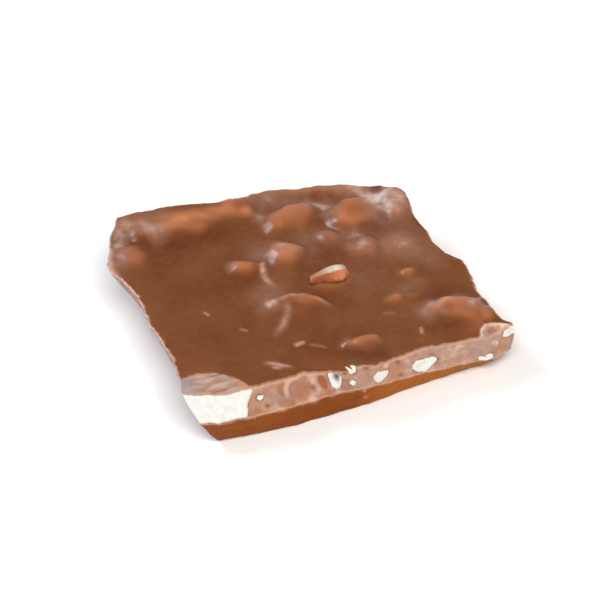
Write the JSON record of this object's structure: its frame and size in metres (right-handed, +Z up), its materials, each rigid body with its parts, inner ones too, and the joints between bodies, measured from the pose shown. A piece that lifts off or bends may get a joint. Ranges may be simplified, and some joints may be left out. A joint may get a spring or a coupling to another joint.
{
  "type": "pecan bark piece",
  "caption": "Broken slab of milk chocolate bark with nut pieces set in it, bumpy on top and flat below, showing pale nuts along its broken sides.",
  "frame": {"origin": "middle of the flat bottom, at the centre of the outline's box", "axes": "+X along the long broken front side, +Y towards the back, +Z up from the flat bottom through the bumpy top"},
  "size_m": [0.0832, 0.074, 0.0144],
  "materials": {
    "chocolate": "milk chocolate, satin on the poured top and dull where broken",
    "nut": "pale dry nut flesh, dull"
  },
  "bodies": {
    "root": {"chocolate_slab": "chocolate", "nut_corner": "nut", "nut_top": "nut", "nut_front_1": "nut", "nut_front_2": "nut", "nut_front_3": "nut", "nut_front_4": "nut", "nut_front_5": "nut", "nut_right_1": "nut", "nut_right_2": "nut", "nut_back_1": "nut", "nut_back_2": "nut", "nut_left_1": "nut", "nut_left_2": "nut"}
  },
  "joints": []
}
